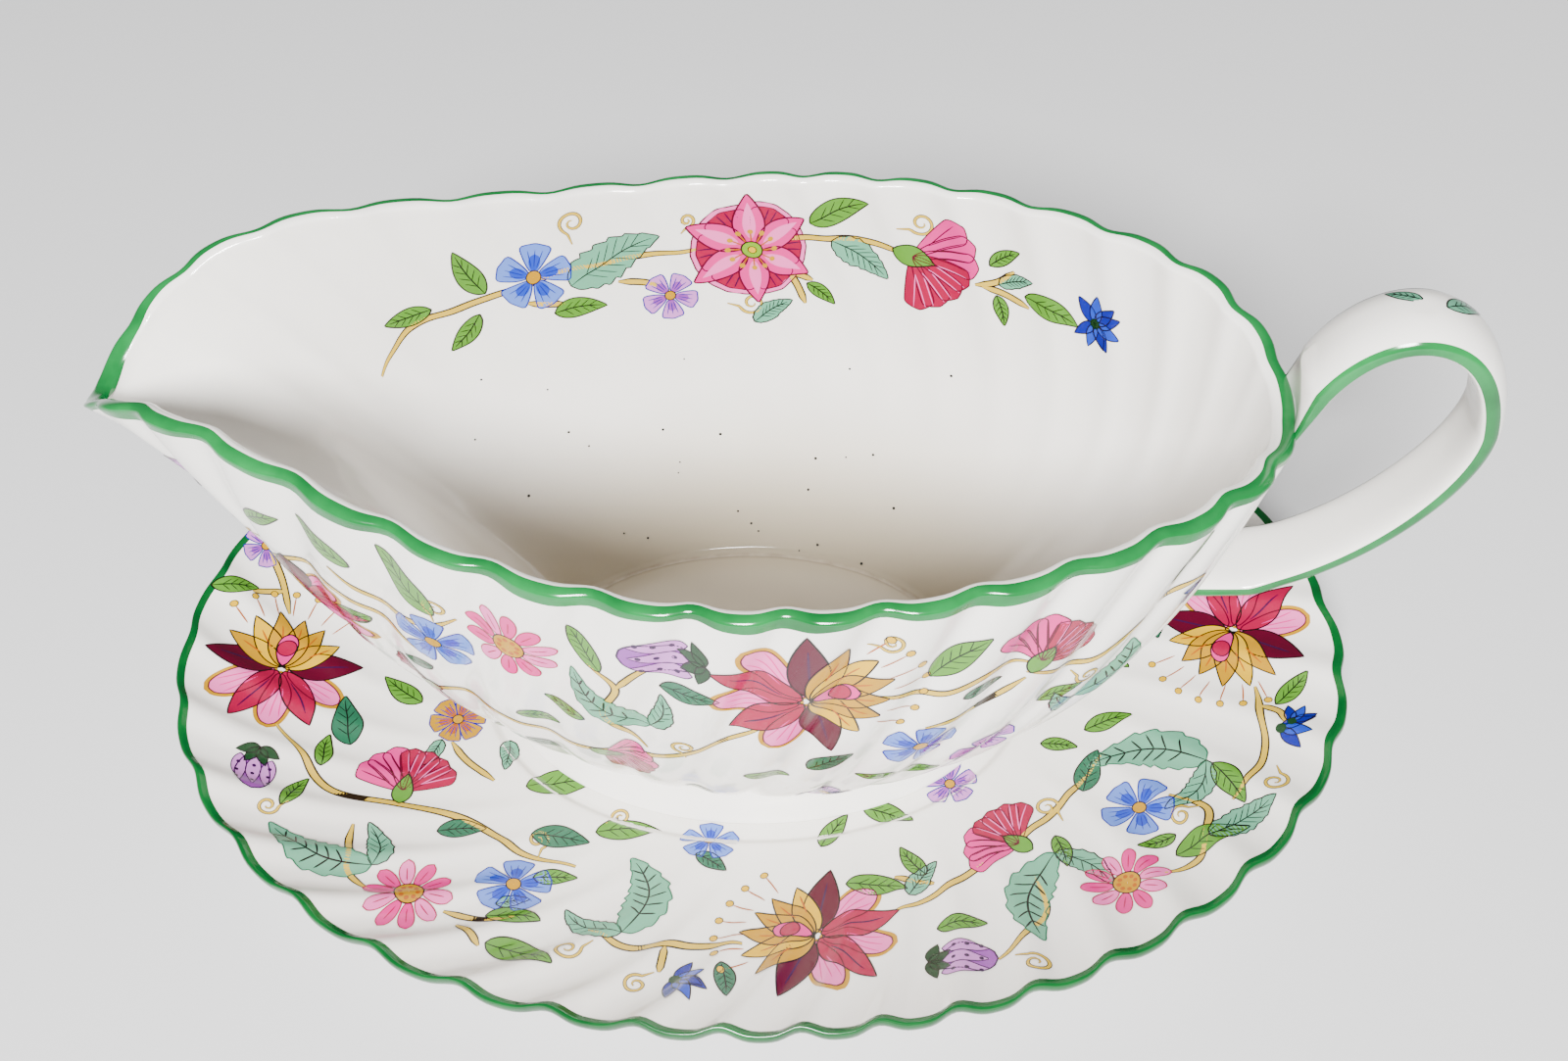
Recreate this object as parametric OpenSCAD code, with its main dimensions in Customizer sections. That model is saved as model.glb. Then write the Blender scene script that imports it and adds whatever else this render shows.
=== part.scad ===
// Gravy boat of fluted bone china on its own oval scalloped stand.
// Axes: +X to the handle, -X to the spout, +Z up; the stand rests on z = 0 with its middle at the origin.

/* [Stand] */
// Length of the stand over its scalloped rim, mm
stand_length = 220; // [190:1:260]
// Width of the stand over its scalloped rim, mm
stand_width = 160; // [146:1:190]
// Height of the stand's rim over the table, mm
stand_height = 21.8; // [17:0.1:30]
// Thickness of the dish in the well, mm
dish_wall = 2.8; // [2:0.1:4]
// Thickness of the dish at its rim, mm
dish_rim_wall = 2.6; // [2:0.1:3.4]
// Height of the foot ring under the dish, mm
stand_foot_height = 3.2; // [2:0.1:6]
// Width of the foot ring under the dish, mm
stand_foot_wall = 3.6; // [2.5:0.1:6]
// How far the well's edge rises over its floor, mm
well_step = 1.3; // [0.8:0.1:2.5]
// Gap all round between the boat's foot and the well's edge, mm
well_clearance = 3; // [1:0.1:5]
// Number of scallops round the stand
stand_flutes = 39; // [30:1:44]
// Depth of the stand's flutes at the rim, mm
stand_flute_depth = 0.6; // [0.2:0.05:1]
// Turn of the stand's flutes from the rim to the well, degrees
stand_swirl = 20; // [0:1:30]

/* [Boat] */
// Reach of the spout's tip from the stand's middle, mm
spout_reach = 105.8; // [95:0.5:125]
// Reach of the bowl's handle end from the stand's middle, mm
handle_end_reach = 91; // [80:0.5:105]
// Width of the bowl at its middle, mm
boat_width = 100.3; // [88:0.1:120]
// Height of the bowl's rim over the foot's underside at the sides, mm
boat_height = 84.8; // [72:0.5:102]
// Rise of the rim behind the spout, mm
spout_rise = 9.1; // [2:0.1:12]
// Drop of the rim at the spout's tip, mm
tip_droop = 7.3; // [2:0.1:12]
// Drop of the rim at the handle end, mm
handle_dip = 5.6; // [1:0.1:9]
// Thickness of the bowl's wall, mm
bowl_wall = 2.6; // [2.2:0.1:3.4]
// Number of flutes round the bowl
boat_flutes = 34; // [24:1:40]
// Depth of the bowl's flutes at the rim, mm
boat_flute_depth = 0.75; // [0.2:0.05:0.9]
// Turn of the bowl's flutes from the rim to the foot, degrees
boat_swirl = 22; // [0:1:30]

/* [Foot of the boat] */
// Length of the foot at its underside, mm
foot_length = 96.2; // [86:0.2:106]
// Width of the foot at its underside, mm
foot_width = 63.4; // [58:0.2:70]
// Height of the foot, mm
foot_height = 7.5; // [5:0.1:12]
// How far the foot spreads from the neck to its underside, mm
foot_spread = 4; // [2:0.1:6]
// Width of the foot's ring at the neck, mm
foot_ring = 6; // [4:0.1:9]

/* [Handle] */
// Reach of the handle's middle line beyond the bowl's handle end, mm
handle_reach = 27.8; // [24:0.1:38]
// Height of the handle's crown over the rim at the sides, mm
handle_crown = 11; // [5:0.1:18]
// Height of the handle's lower end over the foot's underside, mm
handle_low = 41; // [34:0.1:48]
// Width of the strap, mm
strap_width = 13; // [10:0.1:17]
// Thickness of the strap at its edges, mm
strap_edge = 3.4; // [2.6:0.1:4.5]
// How far the strap's outer face domes over its edges, mm
strap_dome = 1.5; // [0.5:0.1:2.5]

/* [Hidden] */
// Seats: a hair's gap where the handle's ends meet the bowl's wall
seat_gap = 0.25;
// Dish
stand_a = stand_length / 2;
stand_b = stand_width / 2;
well_floor_z = stand_foot_height + dish_wall;
well_a = foot_length / 2 + well_clearance;
well_b = foot_width / 2 + well_clearance;
step_run = 2;                     // the well's edge slopes over this
stand_spacing = 7.96;             // scallops lie closer together on the long sides, degrees
stand_skew = 20.6;                // turn of that spacing about the middle, degrees
stand_start = 0.25;               // the first scallop's place, in scallops
stand_across = 4 * stand_flutes;  // four faces a scallop
foot_out_a = well_a + 5;
foot_out_b = well_b + 5;
// Boat
bowl_middle = 0.5;
neck_z = well_floor_z + foot_height;
neck_a = foot_length / 2 - foot_spread;
neck_b = foot_width / 2 - foot_spread;
half_width = boat_width / 2;
rim_z = well_floor_z + boat_height;
floor_z = neck_z + bowl_wall;
floor_a = neck_a - 3.8;
floor_b = neck_b - 1.4;
spout_taper = 0.203;              // the bowl narrows to the spout
end_pinch = 0.059;                // and is a little pinched at both ends
side_flat = 0.03;
rise_at = 136.8;  rise_span = 24;   // where the spout's rise lies round the rim, and its spread, degrees
tip_span = 20.6;  dip_span = 23.2;
// The wall swells fast over the neck by the belly's share, and flares by the rest, at the sides, each end
// and under the spout's lip
belly_side = 0.91;  belly_spout = 0.65;  belly_handle = 0.57;  belly_tip = 0.12;
flare_side = 1.08;  flare_spout = 1.9;  flare_handle = 1.16;  flare_tip = 2;
lip_span = 28.7;
belly_power = 3.6;
neck_share = 0.55;                // share of the flutes' depth left at the neck
inner_share = 0.6;                // and on the inside
boat_spacing = 6.3;
boat_start = 0.235;
boat_across = 4 * boat_flutes;
spout_plain = 22;  handle_plain = 14;  // flutes fade out this far round from each end, degrees
rim_round = 0.9;
// Handle
crown_z = rim_z + handle_crown;
reach_x = handle_end_reach + handle_reach;
strap_round = 24;                 // faces round the strap
strap_long = 40;                  // and along it

// A smooth hump round c with spread w
function hump(t, c, w) = exp(-pow((t - c) / w, 2));
// Scallop outline: broad crests, narrow valleys
function wave(p) = cos(p) - 0.2 * cos(2 * p);
function fold(t) = 180 - abs(180 - (t - 360 * floor(t / 360)));
function mix(a, b, k) = a + (b - a) * k;
function curve3(a, b, c, d, k) =
    pow(1 - k, 3) * a + 3 * pow(1 - k, 2) * k * b + 3 * (1 - k) * k * k * c + pow(k, 3) * d;

// Faces of a skin of closed rings, n points each, capped at both ends by a middle point
function skin(rings, n) = concat(
    [for (r = [0 : rings - 2], i = [0 : n - 1]) let (j = (i + 1) % n)
        each [[r * n + i, r * n + j, (r + 1) * n + j], [r * n + i, (r + 1) * n + j, (r + 1) * n + i]]],
    [for (i = [0 : n - 1]) [rings * n, (i + 1) % n, i]],
    [for (i = [0 : n - 1]) [rings * n + 1, (rings - 1) * n + i, (rings - 1) * n + (i + 1) % n]]);

// ---- dish ----
function stand_turn(p) = p + stand_spacing * (sin(2 * p - stand_skew) + sin(stand_skew));
function dish_top_z(s) = well_floor_z + well_step
    + (stand_height - well_floor_z - well_step) * (0.35 * s + 0.65 * pow(s, 2.2));
// A point of the dish: scallop angle p, share s from the well's edge to the rim, depth under the top face
function dish_point(p, s, under) =
    let (q = p + 360 * stand_start / stand_flutes,
         t = stand_turn(q + stand_swirl * (1 - s)),
         a = mix(well_a + step_run, stand_a - 0.5, s),
         b = mix(well_b + step_run, stand_b - 0.5, s),
         w = stand_flute_depth * wave(stand_flutes * p) * pow(s, 1.2))
    [(a + w) * cos(t), (b + w) * sin(t), dish_top_z(s) - 0.7 * w - under];
function oval_ring(a, b, z, n) = [for (i = [0 : n - 1]) [a * cos(360 * i / n), b * sin(360 * i / n), z]];

module stand_dish() {
    n = stand_across;
    top = [for (k = [12 : -1 : 0]) k / 12];
    low = [for (k = [1 : 9]) k / 9];
    under_turn = [for (i = [0 : n - 1]) stand_turn(360 * i / n + 360 * stand_start / stand_flutes + stand_swirl)];
    rings = concat(
        [[for (i = [0 : n - 1]) let (t = under_turn[i]) [(foot_out_a + 1.5) * cos(t), (foot_out_b + 1.5) * sin(t),
            stand_foot_height]]],
        [for (s = low) let (f = mix(0.12, 0.98, s)) [for (i = [0 : n - 1])
            dish_point(360 * i / n, f, mix(dish_wall, dish_rim_wall, f) + 0.9 * (1 - s))]],
        [[for (i = [0 : n - 1]) dish_point(360 * i / n, 1, dish_rim_wall - 0.7)]],
        [[for (i = [0 : n - 1]) dish_point(360 * i / n, 1, 0.7)]],
        [for (s = top) [for (i = [0 : n - 1]) dish_point(360 * i / n, s * 0.985, 0)]],
        [[for (i = [0 : n - 1]) let (t = under_turn[i]) [well_a * cos(t), well_b * sin(t), well_floor_z]]]);
    points = concat([for (r = rings) each r], [[0, 0, stand_foot_height], [0, 0, well_floor_z]]);
    color("white") polyhedron(points, skin(len(rings), n), convexity = 6);
}

module stand_foot() {
    n = 96;
    color("white") linear_extrude(height = stand_foot_height)
        polygon(concat(
            [for (i = [0 : n - 1]) [foot_out_a * cos(360 * i / n), foot_out_b * sin(360 * i / n)]],
            [for (i = [0 : n - 1]) [(foot_out_a - stand_foot_wall) * cos(360 * i / n),
                (foot_out_b - stand_foot_wall) * sin(360 * i / n)]]),
            paths = [[for (i = [0 : n - 1]) i], [for (i = [0 : n - 1]) n + i]]);
}

// ---- bowl ----
function boat_turn(p) = p + boat_spacing * sin(2 * p);
function rim_x(t) = bowl_middle + (cos(t) < 0 ? spout_reach + bowl_middle : handle_end_reach - bowl_middle) * cos(t);
function rim_y(t) = half_width * sin(t)
    * (1 + spout_taper * cos(t) - end_pinch * (1 + cos(2 * t)) - side_flat * (1 - cos(4 * t)));
function rim_height(t) = let (f = fold(t)) rim_z + spout_rise * hump(f, rise_at, rise_span)
    - tip_droop * hump(f, 180, tip_span) - handle_dip * hump(f, 0, dip_span);
function around(t, handle, side, spout, tip) =
    mix(mix(cos(t) < 0 ? spout : handle, side, pow(sin(t), 2)), tip, hump(fold(t), 180, lip_span));
function swell(t, h) = let (b = around(t, belly_handle, belly_side, belly_spout, belly_tip))
    b * (1 - pow(max(1 - h, 0), belly_power))
    + (1 - b) * pow(max(h, 0), around(t, flare_handle, flare_side, flare_spout, flare_tip));
// Outward direction of the wall at a point, as seen from above
function outward(x, y) = let (v = [x * pow(half_width / handle_end_reach, 2), y]) v / max(norm(v), 0.001);
function boat_flute(p, t, h) = let (f = fold(t))
    boat_flute_depth * wave(boat_flutes * p) * (1 - hump(f, 180, spout_plain))
    * (1 - 0.95 * hump(f, 0, handle_plain)) * mix(neck_share, 1, h);
function boat_angle(p, h) = boat_turn(p + 360 * boat_start / boat_flutes + boat_swirl * (h - 1));
// A point of the bowl's outer face: flute angle p, share h of the height from neck to rim, moved inward by d
function bowl_outer(p, h, d) =
    let (t = boat_angle(p, h), g = swell(t, h),
         x = mix(neck_a * cos(t), rim_x(t), g), y = mix(neck_b * sin(t), rim_y(t), g),
         o = outward(x, y), w = boat_flute(p, t, h) - d)
    [x + o[0] * w, y + o[1] * w, mix(neck_z, rim_height(t) - rim_round, h)];
// And of its inner face, share h of the height from floor to rim
function bowl_inner(p, h) =
    let (t = boat_angle(p, h), g = swell(t, h), lean = 1 + 0.4 * pow(cos(t), 2),
         x = mix(floor_a * cos(t), rim_x(t), g), y = mix(floor_b * sin(t), rim_y(t), g),
         o = outward(x, y), w = inner_share * boat_flute(p, t, h) * h - bowl_wall * lean * g)
    [x + o[0] * w, y + o[1] * w, mix(floor_z, rim_height(t) - rim_round, h)];
function lift(v, z) = [v[0], v[1], v[2] + z];

module boat_bowl() {
    n = boat_across;
    rise = [0, 0.025, 0.06, 0.11, 0.19, 0.3, 0.4, 0.5, 0.6, 0.7, 0.8, 0.9, 1];
    fall = [1, 0.9, 0.8, 0.7, 0.6, 0.5, 0.4, 0.3, 0.2, 0.12, 0.065, 0.025, 0];
    rings = concat(
        [for (h = rise) [for (i = [0 : n - 1]) bowl_outer(360 * i / n, h, 0)]],
        [for (k = [0.25, 0.5, 0.75]) [for (i = [0 : n - 1]) let (p = 360 * i / n)
            lift(mix(bowl_outer(p, 1, 0), bowl_inner(p, 1), k), rim_round * sin(180 * k))]],
        [for (h = fall) [for (i = [0 : n - 1]) bowl_inner(360 * i / n, h)]],
        [[for (i = [0 : n - 1]) let (t = boat_angle(360 * i / n, 0))
            [(floor_a - 2.5) * cos(t), (floor_b - 2.5) * sin(t), floor_z - 0.3]]]);
    points = concat([for (r = rings) each r], [[0, 0, neck_z], [0, 0, floor_z - 0.1]]);
    color("white") polyhedron(points, skin(len(rings), n), convexity = 8);
}

module boat_foot() {
    n = 96;
    profile = [[neck_a - foot_ring, neck_z], [neck_a - foot_ring + foot_spread, well_floor_z],
        [neck_a + foot_spread, well_floor_z], [neck_a + foot_spread, well_floor_z + 1],
        [neck_a + 0.35 * foot_spread, well_floor_z + 0.55 * foot_height], [neck_a, neck_z]];
    m = len(profile);
    // The same section all round: points by ring, faces closed both ways
    color("white") polyhedron(
        [for (q = profile, i = [0 : n - 1]) let (c = 360 * i / n)
            [q[0] * cos(c), (q[0] - neck_a + neck_b) * sin(c), q[1]]],
        [for (r = [0 : m - 1], i = [0 : n - 1]) let (j = (i + 1) % n, s = (r + 1) % m)
            each [[r * n + i, s * n + j, r * n + j], [r * n + i, s * n + i, s * n + j]]], convexity = 6);
}

// ---- handle ----
// The wall's place at height z and sideways y on the handle end, by repeated small steps
function wall_at(y, z, p = 0, h = 0.5, k = 14) =
    let (q = bowl_outer(p, h, 0))
    k == 0 ? q[0] : wall_at(y, z, p + 50 * (y - q[1]) / half_width, h + (z - q[2]) / (rim_z - neck_z), k - 1);
// Middle line of the strap: up and over from the rim, then down and in to the wall
top_join_z = rim_z - handle_dip - rim_round - 4.4;
low_z = well_floor_z + handle_low;
function strap_line(k) = k < 0.5
    ? let (u = 2 * k) [curve3(handle_end_reach - 0.6, handle_end_reach + 2, reach_x - 2.5, reach_x, u),
        curve3(top_join_z, crown_z + 5, crown_z + 9, rim_z - 6, u)]
    : let (u = 2 * k - 1) [curve3(reach_x, reach_x + 0.3, mix(handle_end_reach, reach_x, 0.5), handle_end_reach - 4, u),
        curve3(rim_z - 6, rim_z - 17.5, low_z + 5.2, low_z, u)];
function strap_normal(k) = let (v = strap_line(min(k + 0.01, 1)) - strap_line(max(k - 0.01, 0)))
    [-v[1], v[0]] / norm(v);
// Section: [sideways, outward] round the strap
function strap_section(c) =
    let (y = strap_width / 2 * sign(cos(c)) * pow(abs(cos(c)), 0.55),
         o = strap_edge / 2 * sign(sin(c)) * pow(abs(sin(c)), 0.7))
    [y, o + (o > 0 ? strap_dome * (1 - pow(2 * y / strap_width, 2)) : 0)];

module boat_handle() {
    n = strap_round;
    first = 0.09;
    last = 0.985;
    sec = [for (i = [0 : n - 1]) strap_section(360 * (i + 0.5) / n)];
    rings = concat(
        [[for (v = sec) let (z = top_join_z + 1.25 * v[1]) [wall_at(v[0], z) + seat_gap, v[0], z]]],
        [for (r = [0 : strap_long]) let (k = mix(first, last, r / strap_long), q = strap_line(k), m = strap_normal(k))
            [for (v = sec) [q[0] + m[0] * v[1], v[0], q[1] + m[1] * v[1]]]],
        [[for (v = sec) let (z = low_z - 1.1 * v[1]) [wall_at(v[0], z) + seat_gap, v[0], z]]]);
    ends = [[wall_at(0, top_join_z) + seat_gap, 0, top_join_z], [wall_at(0, low_z) + seat_gap, 0, low_z]];
    points = concat([for (r = rings) each r], ends);
    color("white") polyhedron(points, skin(len(rings), n), convexity = 6);
}

boat_bowl();
boat_foot();
boat_handle();
stand_dish();
stand_foot();
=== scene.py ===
"""Fluted bone china gravy boat on its oval scalloped stand: the looks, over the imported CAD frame."""

import math

import bpy
import numpy as np
from mathutils import Matrix, Vector


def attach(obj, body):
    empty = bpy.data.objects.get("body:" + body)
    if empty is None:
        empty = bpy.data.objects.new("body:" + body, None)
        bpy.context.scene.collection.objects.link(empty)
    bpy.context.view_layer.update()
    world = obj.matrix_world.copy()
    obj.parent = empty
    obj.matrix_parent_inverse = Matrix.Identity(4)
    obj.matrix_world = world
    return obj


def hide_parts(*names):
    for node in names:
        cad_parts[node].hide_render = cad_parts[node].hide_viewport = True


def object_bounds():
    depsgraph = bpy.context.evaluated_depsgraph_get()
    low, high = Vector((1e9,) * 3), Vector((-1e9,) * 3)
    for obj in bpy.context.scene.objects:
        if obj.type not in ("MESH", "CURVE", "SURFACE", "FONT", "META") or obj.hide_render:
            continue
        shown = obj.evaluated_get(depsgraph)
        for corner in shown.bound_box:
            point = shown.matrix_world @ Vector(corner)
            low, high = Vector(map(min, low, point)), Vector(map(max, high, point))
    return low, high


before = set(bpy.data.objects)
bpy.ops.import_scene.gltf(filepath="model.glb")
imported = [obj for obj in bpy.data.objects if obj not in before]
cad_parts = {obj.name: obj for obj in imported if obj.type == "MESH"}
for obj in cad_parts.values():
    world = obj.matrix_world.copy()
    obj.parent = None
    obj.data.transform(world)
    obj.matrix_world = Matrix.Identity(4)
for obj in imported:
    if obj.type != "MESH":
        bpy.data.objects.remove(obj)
cad_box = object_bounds()

# ---- sizes in mm and degrees, the same as in the part's source ----
stand_length, stand_width, stand_height = 220.0, 160.0, 21.8
dish_wall, dish_rim_wall = 2.8, 2.6
stand_foot_height, stand_foot_wall = 3.2, 3.6
well_step, well_clearance, step_run = 1.3, 3.0, 2.0
stand_flutes, stand_flute_depth, stand_swirl = 39, 0.6, 20.0
spout_reach, handle_end_reach = 105.8, 91.0
boat_width, boat_height = 100.3, 84.8
spout_rise, tip_droop, handle_dip = 9.1, 7.3, 5.6
bowl_wall = 2.6
boat_flutes, boat_flute_depth, boat_swirl = 34, 0.75, 22.0
foot_length, foot_width, foot_height, foot_spread, foot_ring = 96.2, 63.4, 7.5, 4.0, 6.0
handle_reach, handle_crown, handle_low = 27.8, 11.0, 41.0
strap_width, strap_edge, strap_dome = 13.0, 3.4, 1.5
stand_a, stand_b = stand_length / 2, stand_width / 2
well_floor_z = stand_foot_height + dish_wall
well_a, well_b = foot_length / 2 + well_clearance, foot_width / 2 + well_clearance
stand_spacing, stand_skew, stand_start = 7.96, 20.6, 0.25
foot_out_a, foot_out_b = well_a + 5, well_b + 5
bowl_middle = 0.5
neck_z = well_floor_z + foot_height
neck_a, neck_b = foot_length / 2 - foot_spread, foot_width / 2 - foot_spread
half_width = boat_width / 2
rim_z = well_floor_z + boat_height
floor_z = neck_z + bowl_wall
floor_a, floor_b = neck_a - 3.8, neck_b - 1.4
spout_taper, end_pinch, side_flat = 0.203, 0.059, 0.03
rise_at, rise_span, tip_span, dip_span = 136.8, 24.0, 20.6, 23.2
belly_side, belly_spout, belly_handle, belly_tip = 0.91, 0.65, 0.57, 0.12
flare_side, flare_spout, flare_handle, flare_tip = 1.08, 1.9, 1.16, 2.0
lip_span, belly_power = 28.7, 3.6
neck_share, inner_share = 0.55, 0.6
boat_spacing, boat_start = 6.3, 0.235
spout_plain, handle_plain, rim_round = 22.0, 14.0, 0.9


def sin(d):
    return np.sin(np.radians(d))


def cos(d):
    return np.cos(np.radians(d))


def hump(t, c, w):
    return np.exp(-(((t - c) / w) ** 2))


def wave(p):
    return cos(p) - 0.2 * cos(2 * p)


def fold(t):
    return 180 - np.abs(180 - np.mod(t, 360))


def mix(a, b, k):
    return a + (b - a) * k


def stand_turn(p):
    return p + stand_spacing * (sin(2 * p - stand_skew) + sin(stand_skew))


def dish_top_z(s):
    return (
        well_floor_z
        + well_step
        + (stand_height - well_floor_z - well_step) * (0.35 * s + 0.65 * np.maximum(s, 0) ** 2.2)
    )


def dish_point(p, s, under):
    """Scallop angle p, share s from the well's edge to the rim, depth under the top face."""
    t = stand_turn(p + 360 * stand_start / stand_flutes + stand_swirl * (1 - s))
    a, b = mix(well_a + step_run, stand_a - 0.5, s), mix(well_b + step_run, stand_b - 0.5, s)
    w = stand_flute_depth * wave(stand_flutes * p) * np.maximum(s, 0) ** 1.2
    return np.stack([(a + w) * cos(t), (b + w) * sin(t), dish_top_z(s) - 0.7 * w - under], -1)


def boat_turn(p):
    return p + boat_spacing * sin(2 * p)


def rim_x(t):
    c = cos(t)
    return bowl_middle + np.where(c < 0, spout_reach + bowl_middle, handle_end_reach - bowl_middle) * c


def rim_y(t):
    return half_width * sin(t) * (
        1 + spout_taper * cos(t) - end_pinch * (1 + cos(2 * t)) - side_flat * (1 - cos(4 * t))
    )


def rim_height(t):
    f = fold(t)
    return (
        rim_z
        + spout_rise * hump(f, rise_at, rise_span)
        - tip_droop * hump(f, 180, tip_span)
        - handle_dip * hump(f, 0, dip_span)
    )


def around(t, handle, side, spout, tip):
    end = np.where(cos(t) < 0, spout, handle)
    return mix(mix(end, side, sin(t) ** 2), tip, hump(fold(t), 180, lip_span))


def swell(t, h):
    b = around(t, belly_handle, belly_side, belly_spout, belly_tip)
    return b * (1 - np.maximum(1 - h, 0) ** belly_power) + (1 - b) * np.maximum(h, 0) ** around(
        t, flare_handle, flare_side, flare_spout, flare_tip
    )


def outward(x, y):
    vx = x * (half_width / handle_end_reach) ** 2
    n = np.maximum(np.hypot(vx, y), 0.001)
    return vx / n, y / n


def boat_flute(p, t, h):
    f = fold(t)
    return (
        boat_flute_depth
        * wave(boat_flutes * p)
        * (1 - hump(f, 180, spout_plain))
        * (1 - 0.95 * hump(f, 0, handle_plain))
        * mix(neck_share, 1, h)
    )


def boat_angle(p, h):
    return boat_turn(p + 360 * boat_start / boat_flutes + boat_swirl * (h - 1))


def bowl_outer(p, h, d=0.0):
    """Flute angle p, share h of the height from neck to rim, moved inward by d."""
    t = boat_angle(p, h)
    g = swell(t, h)
    x, y = mix(neck_a * cos(t), rim_x(t), g), mix(neck_b * sin(t), rim_y(t), g)
    ox, oy = outward(x, y)
    w = boat_flute(p, t, h) - d
    return np.stack([x + ox * w, y + oy * w, mix(neck_z, rim_height(t) - rim_round, h)], -1)


def bowl_inner(p, h):
    """Share h of the height from floor to rim."""
    t = boat_angle(p, h)
    g = swell(t, h)
    x, y = mix(floor_a * cos(t), rim_x(t), g), mix(floor_b * sin(t), rim_y(t), g)
    ox, oy = outward(x, y)
    w = inner_share * boat_flute(p, t, h) * h - bowl_wall * (1 + 0.4 * cos(t) ** 2) * g
    return np.stack([x + ox * w, y + oy * w, mix(floor_z, rim_height(t) - rim_round, h)], -1)


def undo(turn, t):
    """The angle that turn() takes to t, by repeated small steps."""
    u = t
    for _ in range(14):
        u = u - (turn(u) - t)
    return u


def stand_q(q):
    """A place on the dish over plan point q = (x, y)."""
    x, y = q[..., 0], q[..., 1]
    low, high = np.full_like(x, -0.3), np.full_like(x, 1.2)
    for _ in range(26):
        s = (low + high) / 2
        a, b = mix(well_a + step_run, stand_a - 0.5, s), mix(well_b + step_run, stand_b - 0.5, s)
        beyond = (x / a) ** 2 + (y / b) ** 2 > 1
        low, high = np.where(beyond, s, low), np.where(beyond, high, s)
    t = np.degrees(np.arctan2(y / b, x / a))
    p = undo(stand_turn, t) - 360 * stand_start / stand_flutes - stand_swirl * (1 - s)
    top = dish_point(p, s, 0.0)
    drop = np.clip(-s * (stand_a - 0.5 - well_a - step_run) / step_run, 0, 1)
    flat = np.stack([x, y, well_floor_z + well_step * (1 - drop)], -1)
    return np.where((s > 0)[..., None], top, flat)


def outer_q(q):
    """A place on the bowl's outer face: q = (angle in radians, share of the height)."""
    t, h = np.degrees(q[..., 0]), q[..., 1]
    return bowl_outer(undo(boat_turn, t) - 360 * boat_start / boat_flutes - boat_swirl * (h - 1), h)


def inner_q(q):
    t, h = np.degrees(q[..., 0]), q[..., 1]
    return bowl_inner(undo(boat_turn, t) - 360 * boat_start / boat_flutes - boat_swirl * (h - 1), h)


# ---- meshes ----
CAD_LOW, CAD_HIGH = np.array(cad_box[0]) * 1000, np.array(cad_box[1]) * 1000
INSET = 0.09  # china stays this far inside the CAD box, mm, so that the enamel on it does too


def build(name, verts, faces, body, materials, picks=None, normals=None, inset=0.0):
    """A smooth mesh from points in mm, riding on a CAD body."""
    verts = np.clip(verts, CAD_LOW + inset, CAD_HIGH - inset) / 1000
    me = bpy.data.meshes.new(name)
    me.from_pydata(verts.tolist(), [], [[int(i) for i in f] for f in faces])
    for m in materials:
        me.materials.append(m)
    me.polygons.foreach_set("use_smooth", [True] * len(me.polygons))
    if picks is not None:
        me.polygons.foreach_set("material_index", picks)
    me.update()
    if normals is not None:
        me.normals_split_custom_set_from_vertices(normals.tolist())
    ob = bpy.data.objects.new(name, me)
    bpy.context.scene.collection.objects.link(ob)
    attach(ob, body)
    return ob


def grid_faces(rows, cols, closed):
    """Four-cornered faces of a rows x cols net of points, closed round its columns or not."""
    r, c = np.meshgrid(np.arange(rows - 1), np.arange(cols if closed else cols - 1), indexing="ij")
    r, c = r.ravel(), c.ravel()
    d = (c + 1) % cols
    return np.stack([r * cols + c, r * cols + d, (r + 1) * cols + d, (r + 1) * cols + c], -1)


def skin(rings, first_cap, last_cap):
    """Points and faces of closed rings, each end capped by a middle point or left open by None."""
    rows, cols = len(rings), len(rings[0])
    verts = np.concatenate([np.asarray(r) for r in rings])
    faces = grid_faces(rows, cols, True).tolist()
    for cap, row in ((first_cap, 0), (last_cap, rows - 1)):
        if cap is not None:
            tip, at = len(verts), row * cols
            verts = np.concatenate([verts, [cap]])
            for i in range(cols):
                j = (i + 1) % cols
                faces.append([tip, at + j, at + i] if row == 0 else [tip, at + i, at + j])
    return verts, faces


def net_normals(net, closed):
    """Unit normals of a net of points, by its neighbours' differences."""
    if closed:
        along = np.roll(net, -1, 1) - np.roll(net, 1, 1)
    else:
        along = np.gradient(net, axis=1)
    n = np.cross(along, np.gradient(net, axis=0))
    return n / np.maximum(np.linalg.norm(n, axis=-1, keepdims=True), 1e-9)


def lifted(net, lift, closed=True):
    return net + net_normals(net, closed) * lift


def oval(a, b, z, angles):
    return np.stack([a * cos(angles), b * sin(angles), np.full_like(angles, z)], -1)


def dish_rings():
    p = np.linspace(0, 360, 14 * stand_flutes, endpoint=False)
    t = stand_turn(p + 360 * stand_start / stand_flutes + stand_swirl)
    rings = [oval(foot_out_a + 1.5, foot_out_b + 1.5, stand_foot_height, t)]
    for s in np.linspace(0, 1, 26)[1:]:
        f = mix(0.12, 0.98, s)
        rings.append(dish_point(p, f, mix(dish_wall, dish_rim_wall, f) + 0.9 * (1 - s)))
    rings += [dish_edge(p, k) for k in np.linspace(1, 0, 11)[1:]]
    rings += [dish_point(p, s, 0.0) for s in np.linspace(0.985, 0, 62)[1:]]
    rings += [oval(mix(well_a, well_a + step_run, k), mix(well_b, well_b + step_run, k), mix(well_floor_z,
        well_floor_z + well_step, k * k * (3 - 2 * k)), t) for k in (0.8, 0.6, 0.4, 0.2, 0.0)]
    rings += [oval(well_a * k, well_b * k, well_floor_z, t) for k in (0.97, 0.7, 0.4)]
    return rings


def dish_edge(p, k):
    """Round the dish's edge: k from 0 on top to 1 below."""
    return dish_point(p, 0.985 + 0.015 * sin(180 * k) ** 0.8, mix(0, dish_rim_wall, (1 - cos(180 * k)) / 2))


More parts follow.
